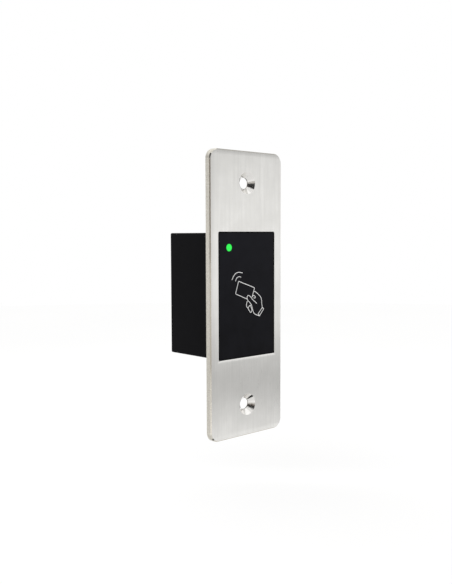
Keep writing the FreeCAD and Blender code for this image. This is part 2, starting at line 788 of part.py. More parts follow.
def make_connector():
    depth = f"(box_depth - header_setback - {BOARD_BACK})"
    shroud = block("header_block", "header_width", "header_height", depth, "0", "header_up", BOARD_BACK)
    hollow = block("header_hollow", "(header_width - 2 * header_wall)", "(header_height - 2 * header_wall)",
                   f"{depth} - header_floor", "0", "header_up", f"{BOARD_BACK} + header_floor")
    slots = [block("header_slot", "header_slot_width", "2 * header_wall", "header_slot_depth",
                   f"{side} * 2 * header_pitch", "header_up + header_height / 2",
                   "box_depth - header_setback - header_slot_depth") for side in SIDES]
    seats = [block("header_seat", "header_pin", "header_pin", "header_floor", x, z, BOARD_BACK)
             for x, z in HEADER_PIN_PLACES]
    publish(cut("header", shroud, hollow, *slots, *seats), "connector_header")
    pins = [block("header_pin", "header_pin", "header_pin",
                  "header_pin_tail + board_thickness + header_floor + header_pin_up", x, z,
                  "board_depth - header_pin_tail") for x, z in HEADER_PIN_PLACES]
    group("connector_pins", pins)


# ---------------------------------------------------------------- circuit board

def make_board():
    body = new_body("main_pcb")
    outline = new_sketch(body, "board_outline", "board_depth")
    draw_rectangle(outline, "board_width", "board_height", "board_corner")
    add_pad(body, outline, "board_thickness")
    notches = new_sketch(body, "board_notches", "board_depth")
    for end in SIDES:
        draw_rectangle(notches, "board_notch_width", "2 * board_notch_height", z=f"{end} * board_height / 2")
    add_pocket(body, notches, "board_thickness")
    holes = new_sketch(body, "board_holes", "board_depth")
    draw_circles(holes, "board_hole_radius", POST_PLACES)
    draw_circles(holes, "tail_hole_radius", lamp_tails(LIGHT_PLACE) + lamp_tails(TAMPER_PLACE))
    draw_circles(holes, "tail_hole_radius", SOUNDER_TAIL_PLACES + ANTENNA_PIN_PLACES)
    draw_circles(holes, "header_pin", HEADER_PIN_PLACES)
    add_pocket(body, holes, "board_thickness")
    publish(body, "main_pcb")

    screws = []
    for number, (x, z) in enumerate(POST_PLACES, 1):
        shank = rod(f"board_shank_{number}", "board_screw_radius", "board_screw_length", x, z,
                    f"{BOARD_BACK} - board_screw_length")
        head = rod(f"board_head_{number}", "board_screw_head_radius", "board_screw_head", x, z, BOARD_BACK)
        recess = cross_recess(f"board_cross_{number}", "board_cross", "board_cross_slot",
                              "board_cross_depth", x, z,
                              f"{BOARD_BACK} + board_screw_head - board_cross_depth")
        screws.append(cut(f"board_screw_{number}", fuse(f"board_blank_{number}", shank, head), recess))
    group("pcb_screws", screws)


# ---------------------------------------------------------------- parts on the board

def on_back(name, width, height, depth, x, z):
    """A block part soldered to the side of the board that faces the wall."""
    return block(name, width, height, depth, x, z, BOARD_BACK)


def on_front(name, width, height, depth, x, z):
    """A block part soldered to the side of the board that faces the room."""
    return block(name, width, height, depth, x, z, f"board_depth - {depth}")


def row_of(count, start, spacing):
    """Formulas for evenly spaced places."""
    return [f"{start} + {number} * {spacing}" for number in range(count)]


def make_sounder():
    front = "board_depth - sounder_depth"
    can = rod("sounder_can", "sounder_radius", "sounder_depth", *SOUNDER_PLACE, front)
    port = rod("sounder_port", "sounder_port_radius", "sounder_port_radius", *SOUNDER_PLACE, front)
    publish(cut("sounder", can, port), "buzzer")
    group("buzzer_pins", [rod("sounder_tail", "tail_radius", "tail_length", x, z, "board_depth")
                          for x, z in SOUNDER_TAIL_PLACES])


def make_chip(node, chip, four_sides):
    """A moulded chip with a pin-one dimple, and flat leads along two or four of its sides."""
    width, height, depth = f"{chip}_width", f"{chip}_height", f"{chip}_depth"
    x, z = f"{chip}_across", f"{chip}_up"
    case = on_back(f"{chip}_case", width, height, depth, x, z)
    mark = rod(f"{chip}_dimple", "dimple_radius", "dimple_depth", f"{x} - {width} / 2 + dimple_inset",
               f"{z} + {height} / 2 - dimple_inset", f"{BOARD_BACK} + {depth} - dimple_depth")
    publish(cut(f"{chip}_moulding", case, mark), node)
    leads = []
    count = DIMENSIONS[f"{chip}_leads"]
    for along in row_of(count, f"(1 - {count}) / 2 * {chip}_pitch", f"{chip}_pitch"):
        for side in SIDES:
            leads.append(on_back(f"{chip}_lead", "lead_width", "lead_reach", "lead_depth", f"{x} + {along}",
                                 f"{z} + {side} * ({height} + lead_reach) / 2"))
            if four_sides:
                leads.append(on_back(f"{chip}_lead", "lead_reach", "lead_width", "lead_depth",
                                     f"{x} + {side} * ({width} + lead_reach) / 2", f"{z} + {along}"))
    group(f"{node}_leads", leads)


def make_crystal():
    """A low quartz can with round ends, lying along X."""
    straight = "(crystal_width - crystal_height)"
    middle = on_back("crystal_middle", straight, "crystal_height", "crystal_depth", "crystal_across",
                     "crystal_up")
    ends = [rod("crystal_end", "crystal_height / 2", "crystal_depth",
                f"crystal_across + {side} * {straight} / 2", "crystal_up", BOARD_BACK) for side in SIDES]
    publish(fuse("crystal_can", middle, *ends), "crystal")


def make_capacitor_cans():
    """Two upright electrolytic cans on plastic bases, on the side that faces the room."""
    places = [("can_across", f"can_up + {side} * can_spacing / 2") for side in SIDES]
    group("electrolytic_capacitors", [rod("can", "can_radius", "can_depth", x, z,
                                          "board_depth - can_base_depth - can_depth") for x, z in places])
    group("capacitor_bases", [on_front("can_base", "can_base", "can_base", "can_base_depth", x, z)
                              for x, z in places])


def make_power_parts():
    x, z = "regulator_across", "regulator_up"
    step_out = "(regulator_height + regulator_reach) / 2"
    case = on_back("regulator_case", "regulator_width", "regulator_height", "regulator_depth", x, z)
    tab = on_back("regulator_tab", "regulator_tab", "regulator_reach", "regulator_metal", x,
                  f"{z} + {step_out}")
    legs = [on_back("regulator_leg", "regulator_leg", "regulator_reach", "regulator_metal", leg_x,
                    f"{z} - {step_out}") for leg_x in row_of(3, f"{x} - regulator_pitch", "regulator_pitch")]
    publish(fuse("regulator", case, tab, *legs), "voltage_regulator")
    inductor = on_front("inductor", "inductor_side", "inductor_side", "inductor_depth", "inductor_across",
                        "inductor_up")
    publish(inductor, "power_inductor")
    group("protection_diodes", [on_back("diode", "diode_width", "diode_height", "diode_depth", x, "diode_up")
                                for x in row_of(3, "-diode_spacing", "diode_spacing")])


def make_small_parts():
    group("transistors", [on_back("transistor", "transistor_width", "transistor_height", "transistor_depth",
                                  x, "transistor_up")
                          for x in row_of(2, "transistor_across", "transistor_spacing")])
    group("chip_resistors", [on_back("resistor", "chip_width", "chip_height", "resistor_depth", x,
                                     "resistor_up") for x in row_of(6, "chip_row_start", "chip_spacing")])
    group("chip_capacitors", [on_back("chip_capacitor", "chip_width", "chip_height", "capacitor_depth", x,
                                      "capacitor_up") for x in row_of(7, "chip_row_start", "chip_spacing")])


# ---------------------------------------------------------------- checking and writing

def write_parts():
    """Check every object and every piece, then write one file for each piece."""
    document.recompute()
    for item in document.Objects:
        if {"Invalid", "Error"} & set(item.State):
            raise RuntimeError(f"{item.Label} did not compute: {item.State}")
    for part in parts:
        if part.Shape.isNull() or not part.Shape.isValid():
            raise RuntimeError(f"{part.Label} has no valid shape")
    os.makedirs("parts", exist_ok=True)
    for part in parts:
        part.Shape.exportStep(f"parts/{part.Label}.step")


make_faceplate()
make_stud_fasteners()
make_housing_gasket()
make_housing()
make_front_panel()
make_panel_adhesive()
make_rear_cover()
make_rear_cover_gasket()
make_cover_fasteners()
make_tamper_window()
make_light_guide()
make_lamp("status_led", LIGHT_PLACE, faces_wall=False)
make_lamp("light_sensor", TAMPER_PLACE, faces_wall=True)
make_antenna()
make_connector()
make_board()
make_sounder()
make_chip("microcontroller", "controller", four_sides=True)
make_chip("reader_chip", "reader", four_sides=False)
make_crystal()
make_capacitor_cans()
make_power_parts()
make_small_parts()
write_parts()
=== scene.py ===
import json
import math

import bmesh
import bpy
from mathutils import Euler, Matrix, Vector


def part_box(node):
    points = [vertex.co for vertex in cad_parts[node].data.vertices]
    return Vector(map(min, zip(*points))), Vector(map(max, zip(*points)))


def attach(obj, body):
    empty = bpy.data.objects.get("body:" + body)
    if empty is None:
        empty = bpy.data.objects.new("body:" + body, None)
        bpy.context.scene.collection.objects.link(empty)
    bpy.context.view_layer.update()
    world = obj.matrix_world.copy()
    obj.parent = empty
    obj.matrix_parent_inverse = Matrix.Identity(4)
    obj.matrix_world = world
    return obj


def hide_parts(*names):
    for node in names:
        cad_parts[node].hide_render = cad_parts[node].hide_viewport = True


# The looks of a flush-mounted RFID card reader: a brushed stainless faceplate with a black front
# panel in its window, and the black box that stands in the wall behind it.
# Metres throughout. X is to the right seen from the room, Y into the wall, Z up, and y = 0 is the
# back of the faceplate.

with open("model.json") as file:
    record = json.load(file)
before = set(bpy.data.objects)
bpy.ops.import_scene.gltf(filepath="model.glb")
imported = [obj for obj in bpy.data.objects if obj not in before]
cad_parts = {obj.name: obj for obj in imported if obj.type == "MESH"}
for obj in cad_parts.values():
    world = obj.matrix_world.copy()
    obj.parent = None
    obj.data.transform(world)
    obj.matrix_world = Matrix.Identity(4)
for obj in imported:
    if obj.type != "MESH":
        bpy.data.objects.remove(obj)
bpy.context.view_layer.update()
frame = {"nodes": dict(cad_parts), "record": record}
NODES = frame["nodes"]
MM = 0.001

# ---------------------------------------------------------------- places that the CAD model gives
PLATE_LOW, PLATE_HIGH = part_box("faceplate")
PANEL_LOW, PANEL_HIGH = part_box("front_panel")
GUIDE_LOW, GUIDE_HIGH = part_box("led_light_guide")
MOUNTS = {mount["name"]: mount for mount in frame["record"]["mounts"]}
SCREW_UP = MOUNTS["upper_screw_hole"]["pos_m"][2]
BORE_RADIUS = MOUNTS["upper_screw_hole"]["dims"]["r_mm"] * MM


# ---------------------------------------------------------------- materials
# The parts of a pattern's range that its colours or roughness spread over: nearly all of a noise,
# the middle of one that has to look strong, and the whole of a wave.
NOISE_SPAN = (0.3, 0.7)
STRONG_SPAN = (0.35, 0.65)
WAVE_SPAN = (-1, 1)


class Nodes:
    """Short ways to lay nodes out in a material's or a world's tree. A source is a number, a
    colour or another node's output."""

    def __init__(self, tree):
        self.tree = tree

    def feed(self, socket, source):
        if isinstance(source, bpy.types.NodeSocket):
            self.tree.links.new(source, socket)
        elif socket.type == "RGBA":
            socket.default_value = (*source, 1.0)
        else:
            socket.default_value = source

    def add(self, kind, sources=(), **settings):
        node = self.tree.nodes.new(kind)
        for name, value in settings.items():
            setattr(node, name, value)
        for socket, source in zip(node.inputs, sources):
            self.feed(socket, source)
        return node

    def parts(self, vector):
        return self.add("ShaderNodeSeparateXYZ", [vector]).outputs

    def math(self, operation, *sources):
        return self.add("ShaderNodeMath", sources, operation=operation).outputs[0]

    def remap(self, value, low, high, start=0.0, end=1.0):
        """value going from low to high, as start going to end and no further."""
        return self.add("ShaderNodeMapRange", [value, low, high, start, end]).outputs[0]

    def weigh(self, *pairs):
        """The sum of sources, each times its weight."""
        total = self.math("MULTIPLY", *pairs[0])
        for source, weight in pairs[1:]:
            total = self.math("MULTIPLY_ADD", source, weight, total)
        return total

    def blend(self, share, first, second):
        """The number first where share is 0, and second where it is 1."""
        node = self.add("ShaderNodeMix", data_type="FLOAT")
        for socket, source in zip(node.inputs[0:1] + node.inputs[2:4], (share, first, second)):
            self.feed(socket, source)
        return node.outputs[0]

    def mix(self, share, first, second):
        """The colour first where share is 0, and second where it is 1."""
        node = self.add("ShaderNodeMix", data_type="RGBA")
        for socket, source in zip(node.inputs[0:1] + node.inputs[6:8], (share, first, second)):
            self.feed(socket, source)
        return node.outputs[2]

    def level(self, pattern, first, second, span=NOISE_SPAN):
        """The number first where a pattern is low, and second where it is high."""
        return self.remap(pattern, *span, first, second)

    def tone(self, pattern, first, second, span=NOISE_SPAN):
        """The colour first where a pattern is low, and second where it is high."""
        return self.mix(self.remap(pattern, *span), first, second)


class Finish(Nodes):
    """One material: a Principled shader, and the nodes that give it its detail. Patterns are laid
    out in the reader's own metres, so they keep their size on every piece."""

    def __init__(self, name, **sockets):
        self.material = bpy.data.materials.new(name)
        self.material.use_nodes = True
        super().__init__(self.material.node_tree)
        self.shader = self.tree.nodes["Principled BSDF"]
        self.place = self.add("ShaderNodeTexCoord").outputs["Object"]
        self.across, self.deep, self.up = self.parts(self.place)
        for socket, value in sockets.items():
            self.set(socket.replace("_", " "), value)

    def set(self, name, source):
        self.feed(self.shader.inputs[name], source)

    def noise(self, grain, stretch=(1, 1, 1), detail=2.0):
        """Noise from 0 to 1 whose grains are about `grain` across, times stretch on each axis."""
        scale = [1 / (grain * s) for s in stretch]
        spread = self.add("ShaderNodeVectorMath", [self.place, scale], operation="MULTIPLY")
        node = self.add("ShaderNodeTexNoise")
        self.feed(node.inputs["Vector"], spread.outputs[0])
        node.inputs["Scale"].default_value = 1.0
        node.inputs["Detail"].default_value = detail
        return node.outputs[0]

    def wave(self, along, pitch):
        """A sine from -1 to 1 that repeats every pitch."""
        return self.math("SINE", self.math("MULTIPLY", along, 2 * math.pi / pitch))

    def facing_wall(self):
        """How squarely the surface faces into the wall, from -1, towards the room, to 1."""
        return self.parts(self.add("ShaderNodeNewGeometry").outputs["Normal"])[1]

    def from_axis(self, across, up):
        """Distance from a line along Y, given how far a point is from it across and up."""
        squares = self.math("MULTIPLY_ADD", across, across, self.math("MULTIPLY", up, up))
        return self.math("SQRT", squares)

    def from_outline(self, low, high):
        """Distance in from the nearest side of a box, seen from the front: negative outside."""
        gaps = []
        for place, start, end in ((self.across, low.x, high.x), (self.up, low.z, high.z)):
            offset = self.math("ABSOLUTE", self.math("SUBTRACT", place, (start + end) / 2))
            gaps.append(self.math("SUBTRACT", (end - start) / 2, offset))
        return self.math("MINIMUM", *gaps)

    def bump(self, height, depth):
        """Relief of `depth` metres where height goes from 0 to 1."""
        node = self.add("ShaderNodeBump")
        node.inputs["Distance"].default_value = depth
        self.feed(node.inputs["Height"], height)
        self.set("Normal", node.outputs[0])


# The faceplate's zones. FROM is where a zone starts, and FULL is where it has its whole effect.
# Flat and sloping surfaces are told by how squarely they face along Y.
FLAT_FROM, FLAT_FULL = 0.8, 0.95
SLOPE_FROM, SLOPE_FULL = 0.5, 0.6
# A screw's sink, by distance from its axis and by depth, and the bore, from its wall outwards.
SINK_RADIUS = 4.4 * MM
SINK_BLUR = 0.05 * MM
SINK_DEPTH_FROM, SINK_DEPTH_FULL = -0.05 * MM, -0.2 * MM
BORE_FROM, BORE_FULL = 0.06 * MM, 0.02 * MM
# The window's rim and the gap beside the panel, where shade is painted, as distances in from the
# panel's outline, and the rim's sides and top, which also get painted shade, as heights above the
# panel's lower edge.
RIM_FROM, RIM_FULL = -0.7 * MM, -0.6 * MM
GAP_FROM, GAP_FULL = -0.36 * MM, -0.3 * MM
ABOVE_SILL_FROM, ABOVE_SILL_FULL = -0.1 * MM, 0.05 * MM
# The strip along the plate's left side where a darker reflection is painted, in from that side, and
# the heights that it fades over.
LEFT_FROM, LEFT_FULL = 3.2 * MM, 0.4 * MM
LEFT_FADED, LEFT_STRONG = -80 * MM, 50 * MM
LEFT_SHARE = 0.8

# The faceplate's colours. A pair is for the low and the high parts of a pattern.
BRUSHED_STEEL = ((0.775, 0.77, 0.75), (0.93, 0.925, 0.905))
CLOUDED_STEEL = (0.77, 0.765, 0.745)
CLOUD_SHARE = 0.8
# The painted darker reflection down the plate's left side.
PAINTED_LEFT_REFLECTION_STEEL = (0.66, 0.655, 0.64)
CUT_STEEL = ((0.7, 0.67, 0.605), (0.875, 0.845, 0.77))
# The rim's painted highlight under the panel, and its painted shade round its other sides.
SILL_HIGHLIGHT_STEEL = (0.9, 0.89, 0.87)
RIM_SHADE_STEEL = (0.05, 0.05, 0.05)
MILL_STEEL = ((0.6, 0.6, 0.59), (0.72, 0.72, 0.71))
TURNED_STEEL = ((0.84, 0.83, 0.81), (0.95, 0.94, 0.92))
BORE_STEEL = (0.3, 0.28, 0.26)

BEVEL_ROUGHNESS = 0.14
SINK_ROUGHNESS = 0.13

# The faceplate's relief: brushing, the rings that the sinks' tool left, and how polishing rolls
# the front off at its outline, and at the window's lip, which ends LIP_GAP outside the panel.
BRUSH_DEPTH = 0.004 * MM
RING_PITCH = 0.16 * MM
RING_SHARE = 0.08
ROLL_WIDTH = 2.2 * MM
ROLL_DEPTH = 0.1 * MM
LIP_GAP = 0.45 * MM
LIP_WIDTH = 1.0 * MM
LIP_DEPTH = 0.03 * MM


class Faceplate(Finish):
    """Stainless sheet: vertical brushing on the front, polished bevels and screw sinks, satin cut
    edges and a mill finish on the back."""

    def __init__(self):
        super().__init__("stainless_plate", Metallic=1.0, Anisotropic=0.88)
        sweep = self.add("ShaderNodeTangent", direction_type="RADIAL", axis="Z")
        self.set("Tangent", sweep.outputs[0])
        self.mark_zones()
        self.mark_patterns()
        self.set("Base Color", self.colour())
        self.set("Roughness", self.roughness())
        self.bump(self.relief(), 1.0)

    def mark_zones(self):
        """Where each finish and each painted shade, highlight and reflection is, 1 in its zone and
        0 outside, and the distances that patterns and relief go by."""
        facing = self.facing_wall()
        self.front = self.remap(facing, -FLAT_FROM, -FLAT_FULL)
        self.back = self.remap(facing, FLAT_FROM, FLAT_FULL)
        sloping = self.remap(facing, -SLOPE_FROM, -SLOPE_FULL)
        self.bevel = self.math("SUBTRACT", sloping, self.front)

        from_screw = self.math("SUBTRACT", self.math("ABSOLUTE", self.up), SCREW_UP)
        self.radius = self.from_axis(self.across, from_screw)
        near_screw = self.remap(self.radius, SINK_RADIUS + SINK_BLUR, SINK_RADIUS - SINK_BLUR)
        before_back = self.remap(self.deep, SINK_DEPTH_FROM, SINK_DEPTH_FULL)
        self.sink = self.math("MULTIPLY", near_screw, before_back)
        self.bore = self.remap(self.radius, BORE_RADIUS + BORE_FROM, BORE_RADIUS + BORE_FULL)

        self.from_panel = self.from_outline(PANEL_LOW, PANEL_HIGH)
        self.rim = self.remap(self.from_panel, RIM_FROM, RIM_FULL)
        # Painted shade on the rim: beside the panel, and on the rim's sides and top.
        painted_gap_shade = self.remap(self.from_panel, GAP_FROM, GAP_FULL)
        above_sill = self.remap(self.up, PANEL_LOW.z + ABOVE_SILL_FROM,
                                PANEL_LOW.z + ABOVE_SILL_FULL)
        self.painted_rim_shade = self.math("MAXIMUM", painted_gap_shade, above_sill)

        # Painted reflection: a darker strip down the front's left side, fading out downwards.
        beside = self.remap(self.across, PLATE_LOW.x + LEFT_FROM, PLATE_LOW.x + LEFT_FULL)
        self.left = self.math("MULTIPLY", beside, self.remap(self.up, LEFT_FADED, LEFT_STRONG))

    def mark_patterns(self):
        """The marks that brushing, cutting, turning and handling leave."""
        broad = self.noise(1.3 * MM, (1, 1, 22), detail=3.0)
        fine = self.noise(0.22 * MM, (1, 1, 60), detail=3.0)
        scratch = self.noise(0.09 * MM, (1, 1, 45), detail=2.0)
        self.streaks = self.weigh((broad, 0.42), (fine, 0.33), (scratch, 0.25))
        wide_cloud = self.noise(12 * MM, detail=1.0)
        small_cloud = self.noise(4.5 * MM, detail=2.0)
        self.cloud = self.weigh((wide_cloud, 0.6), (small_cloud, 0.4))
        self.cut = self.noise(0.28 * MM, detail=4.0)
        self.rings = self.wave(self.radius, RING_PITCH)

    def colour(self):
        """The window's rim has a painted highlight under the panel, and painted shade round its
        other sides.
        """
        brushed = self.tone(self.streaks, *BRUSHED_STEEL, span=(0.32, 0.68))
        clouded = self.level(self.cloud, 0.0, CLOUD_SHARE, span=STRONG_SPAN)
        brushed = self.mix(clouded, brushed, CLOUDED_STEEL)
        # Painted darker reflection along the left side.
        brushed = self.mix(self.math("MULTIPLY", self.left, LEFT_SHARE), brushed, PAINTED_LEFT_REFLECTION_STEEL)
        edges = self.tone(self.cut, *CUT_STEEL, span=STRONG_SPAN)
        edges = self.mix(self.rim, edges, self.mix(self.painted_rim_shade, SILL_HIGHLIGHT_STEEL, RIM_SHADE_STEEL))
        mill = self.tone(self.cut, *MILL_STEEL)
        sheet = self.mix(self.back, self.mix(self.front, edges, brushed), mill)
        turned = self.tone(self.rings, *TURNED_STEEL, span=WAVE_SPAN)
        turned = self.mix(self.bore, turned, BORE_STEEL)
        return self.mix(self.sink, sheet, turned)

    def roughness(self):
        brushed = self.level(self.streaks, 0.34, 0.26)
        cut = self.level(self.cut, 0.55, 0.4)
        sheet = self.blend(self.bevel, self.blend(self.front, cut, brushed), BEVEL_ROUGHNESS)
        return self.blend(self.sink, sheet, SINK_ROUGHNESS)

    def relief(self):
        """Height in metres. The bevels are smooth."""
        rings = self.math("MULTIPLY", self.rings, RING_SHARE)
        marks = self.blend(self.sink, self.blend(self.front, self.cut, self.streaks), rings)
        marks = self.blend(self.bevel, marks, 0.5)
        from_side = self.from_outline(PLATE_LOW, PLATE_HIGH)
        roll = self.remap(from_side, 0.0, ROLL_WIDTH, 1.0, 0.0)
        lip = self.remap(self.from_panel, -LIP_GAP - LIP_WIDTH, -LIP_GAP)
        roll, lip = (self.math("MULTIPLY", near, near) for near in (roll, lip))
        return self.weigh((marks, BRUSH_DEPTH),
                          (self.math("MULTIPLY", roll, self.front), -ROLL_DEPTH),
                          (self.math("MULTIPLY", lip, self.front), -LIP_DEPTH))


def moulded(name, colour, lift, grain, relief, roughness, gloss=0.5):
    """Moulded plastic or rubber: a spark-eroded texture, and colour that drifts a little up to
    lift times as bright."""
    plastic = Finish(name, Specular_IOR_Level=gloss)
    texture = plastic.noise(grain, detail=3.0)
    drift = plastic.noise(7 * MM, detail=2.0)
    shade = plastic.weigh((texture, 0.6), (drift, 0.4))
    plastic.set("Base Color", plastic.tone(shade, colour, tuple(c * lift for c in colour)))
    plastic.set("Roughness", plastic.level(texture, roughness + 0.06, roughness - 0.06))
    plastic.bump(texture, relief)
    return plastic.material


def metal(name, colour, tint, grain, stretch, relief, roughness, anisotropy=0.0):
    """Bare or plated metal with fine marks along one axis and a little staining."""
    bare = Finish(name, Metallic=1.0, Anisotropic=anisotropy)
    marks = bare.noise(grain, stretch, detail=3.0)
    stain = bare.noise(1.6 * MM, detail=3.0)
    shade = bare.weigh((marks, 0.5), (stain, 0.5))
    bare.set("Base Color", bare.tone(shade, colour, tint, span=STRONG_SPAN))
    bare.set("Roughness", bare.level(marks, roughness - 0.07, roughness + 0.07))
    bare.bump(marks, relief)
    return bare.material


def front_panel():
    """Black acrylic with a hard satin face, and a painted sheen that makes it a little paler
    towards its top.
    """
    panel = Finish("front_panel", Specular_IOR_Level=0.07)
    orange_peel = panel.noise(0.45 * MM, detail=3.0)
    cloud = panel.noise(6 * MM, detail=3.0)
    speck = panel.noise(0.12 * MM, detail=1.0)
    drift = panel.level(panel.weigh((cloud, 0.65), (speck, 0.35)), 0.0, 1.0, span=STRONG_SPAN)
    # Painted sheen: the panel gets paler towards its top.
    height = panel.remap(panel.up, PANEL_LOW.z, PANEL_HIGH.z)
    shade = panel.weigh((drift, 0.45), (height, 0.55))
    panel.set("Base Color", panel.mix(shade, (0.0022, 0.0023, 0.0037), (0.0085, 0.0087, 0.0125)))
    panel.set("Roughness", panel.level(orange_peel, 0.3, 0.4))
    panel.bump(orange_peel, 0.002 * MM)
    return panel.material


def lit_guide():
    """The status light's clear rod, glowing green, and less so at its rim."""
    middle = (GUIDE_LOW + GUIDE_HIGH) / 2
    guide = Finish("light_guide", Roughness=0.3, Emission_Strength=1.0, Specular_IOR_Level=0.2)
    radius = guide.from_axis(guide.math("SUBTRACT", guide.across, middle.x),
                             guide.math("SUBTRACT", guide.up, middle.z))
    rim = guide.remap(radius, 1.1 * MM, 1.6 * MM)
    grain = guide.noise(0.3 * MM, detail=2.0)
    glow = guide.tone(grain, (0.03, 0.98, 0.1), (0.022, 0.9, 0.08))
    guide.set("Emission Color", guide.mix(rim, glow, (0.015, 0.8, 0.07)))
    guide.set("Base Color", guide.mix(rim, (0.005, 0.03, 0.008), (0.003, 0.02, 0.005)))
    return guide.material


def clear_plastic(name, colour, roughness, **sockets):
    """Clear moulded plastic with faint flow marks."""
    lens = Finish(name, Transmission_Weight=0.85, IOR=1.49, **sockets)
    flow = lens.noise(0.8 * MM, (1, 4, 1), detail=2.0)
    lens.set("Base Color", lens.tone(flow, colour, tuple(0.9 * c for c in colour)))
    lens.set("Roughness", lens.level(flow, roughness, roughness + 0.08))
    lens.bump(flow, 0.002 * MM)
    return lens.material


def circuit_board():
    """Green solder mask over glass cloth, with copper tracks showing through it."""
    board = Finish("circuit_board", Coat_Weight=0.4, Coat_Roughness=0.15)
    bend = board.math("MULTIPLY_ADD", board.noise(5 * MM, detail=0.0), 3 * MM, board.across)
    tracks = board.remap(board.wave(bend, 1.6 * MM), 0.55, 0.7)
    warp, weft = (board.wave(along, 0.5 * MM) for along in (board.across, board.up))
    weave = board.math("MULTIPLY", warp, weft)
    cloth = board.tone(weave, (0.008, 0.085, 0.03), (0.012, 0.11, 0.04), span=WAVE_SPAN)
    board.set("Base Color", board.mix(tracks, cloth, (0.03, 0.2, 0.08)))
    board.set("Roughness", board.level(weave, 0.3, 0.42, span=WAVE_SPAN))
    board.bump(board.weigh((tracks, 1.0), (weave, 0.1)), 0.03 * MM)
    return board.material


def winding():
    """Enamelled copper wire in turns round the bobbin, with painted shade in the grooves between
    the turns.
    """
    wire = Finish("copper_winding", Metallic=1.0)
    turns = wire.wave(wire.deep, 0.2 * MM)
    wear = wire.noise(2 * MM, detail=3.0)
    lit = wire.tone(wear, (0.55, 0.2, 0.08), (0.7, 0.3, 0.12))
    # Painted shade darkens the grooves between the turns.
    wire.set("Base Color", wire.tone(turns, (0.12, 0.03, 0.01), lit, span=(-1, 0)))
    wire.set("Roughness", wire.level(wear, 0.25, 0.4))
    wire.bump(turns, 0.03 * MM)
    return wire.material


def ink():
    """Screen-printed light grey ink."""
    grey = Finish("panel_print", Specular_IOR_Level=0.2)
    screen = grey.noise(0.09 * MM, detail=2.0)
    fade = grey.noise(2.2 * MM, detail=2.0)
    shade = grey.weigh((screen, 0.5), (fade, 0.5))
    grey.set("Base Color", grey.tone(shade, (0.78, 0.78, 0.78), (0.96, 0.96, 0.96)))
    grey.set("Roughness", grey.level(screen, 0.5, 0.65))
    grey.bump(screen, 0.004 * MM)
    return grey.material


FINISHES = {
    "stainless_plate": Faceplate().material,
    "steel_fasteners": metal("steel_fasteners", (0.62, 0.61, 0.58), (0.78, 0.77, 0.74),
                             0.15 * MM, (1, 1, 1), 0.003 * MM, 0.3),
    "black_housing": moulded("black_housing", (0.0012, 0.0012, 0.0018), 2.4, 0.16 * MM,
                             0.012 * MM, 0.42, gloss=0.05),
    "cover_plastic": moulded("cover_plastic", (0.008, 0.008, 0.0085), 2.0, 0.3 * MM,
                             0.05 * MM, 0.5, gloss=0.3),
    "front_panel": front_panel(),
    "panel_print": ink(),
    "adhesive_film": moulded("adhesive_film", (0.35, 0.33, 0.28), 1.3, 0.8 * MM,
                             0.01 * MM, 0.4),
    "black_gasket": moulded("black_gasket", (0.012, 0.012, 0.013), 1.7, 0.5 * MM,
                            0.03 * MM, 0.8, gloss=0.3),
    "light_guide": lit_guide(),
    "clear_lens": clear_plastic("clear_lens", (0.75, 0.78, 0.8), 0.08),
    "brass_insert": metal("brass_insert", (0.68, 0.48, 0.2), (0.8, 0.6, 0.28),
                          0.2 * MM, (1, 4, 1), 0.004 * MM, 0.3),
    "header_plastic": moulded("header_plastic", (0.5, 0.47, 0.4), 1.25, 0.3 * MM,
                              0.006 * MM, 0.45),
    "tinned_pins": metal("tinned_pins", (0.7, 0.69, 0.66), (0.86, 0.85, 0.82),
                         0.12 * MM, (1, 8, 1), 0.003 * MM, 0.25),
    "circuit_board": circuit_board(),
    "bobbin_plastic": moulded("bobbin_plastic", (0.02, 0.02, 0.022), 1.6, 0.25 * MM,
                              0.01 * MM, 0.5),
    "copper_winding": winding(),
    "ferrite": moulded("ferrite", (0.03, 0.03, 0.032), 1.8, 0.2 * MM, 0.01 * MM, 0.55),
    "green_lamp": clear_plastic("green_lamp", (0.1, 0.7, 0.2), 0.1,
                                Emission_Color=(0.03, 1.0, 0.1), Emission_Strength=0.6),
    "clear_lamp": clear_plastic("clear_lamp", (0.8, 0.82, 0.85), 0.06),
    "moulded_chip": moulded("moulded_chip", (0.014, 0.014, 0.015), 1.6, 0.12 * MM,
                            0.006 * MM, 0.55),
    "metal_can": metal("metal_can", (0.66, 0.66, 0.67), (0.8, 0.8, 0.81),
                       0.18 * MM, (1, 10, 1), 0.003 * MM, 0.25, anisotropy=0.4),
    "ceramic_body": moulded("ceramic_body", (0.42, 0.29, 0.17), 1.3, 0.15 * MM,
                            0.004 * MM, 0.45),
}


def finish_nodes():
    """Gives every CAD node its slot's material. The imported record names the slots."""
    for node in NODES.values():
        for index, slot in enumerate(node.data.materials):
            node.data.materials[index] = FINISHES[slot.name.split(".")[0]]


# ---------------------------------------------------------------- Blender pieces
INK_THICKNESS = 0.04 * MM
INK_WIDTH = 0.27 * MM
INK_STEP = 0.0005 * MM      # how much more each line of ink stands out than the one before
INK_CAP = [math.radians(angle) for angle in (15, 30, 45, 60, 75)]
MITRE_LIMIT = 1.6           # how much wider than its line a corner may be

THREAD_PITCH = 0.5 * MM
THREAD_DEPTH = 0.27 * MM
THREAD_FLAT = 1 / 24        # half the flat of a crest or a root, as a share of the pitch
THREAD_RINGS = 10           # rings of corners in each pitch
THREAD_SIDES = 40
STUD_RADIUS = 1.5 * MM
STUD_FOOT_RADIUS = 2.1 * MM
STUD_FOOT = 0.7 * MM
STUD_TIP = 0.3 * MM
SHARP_ANGLE = 38

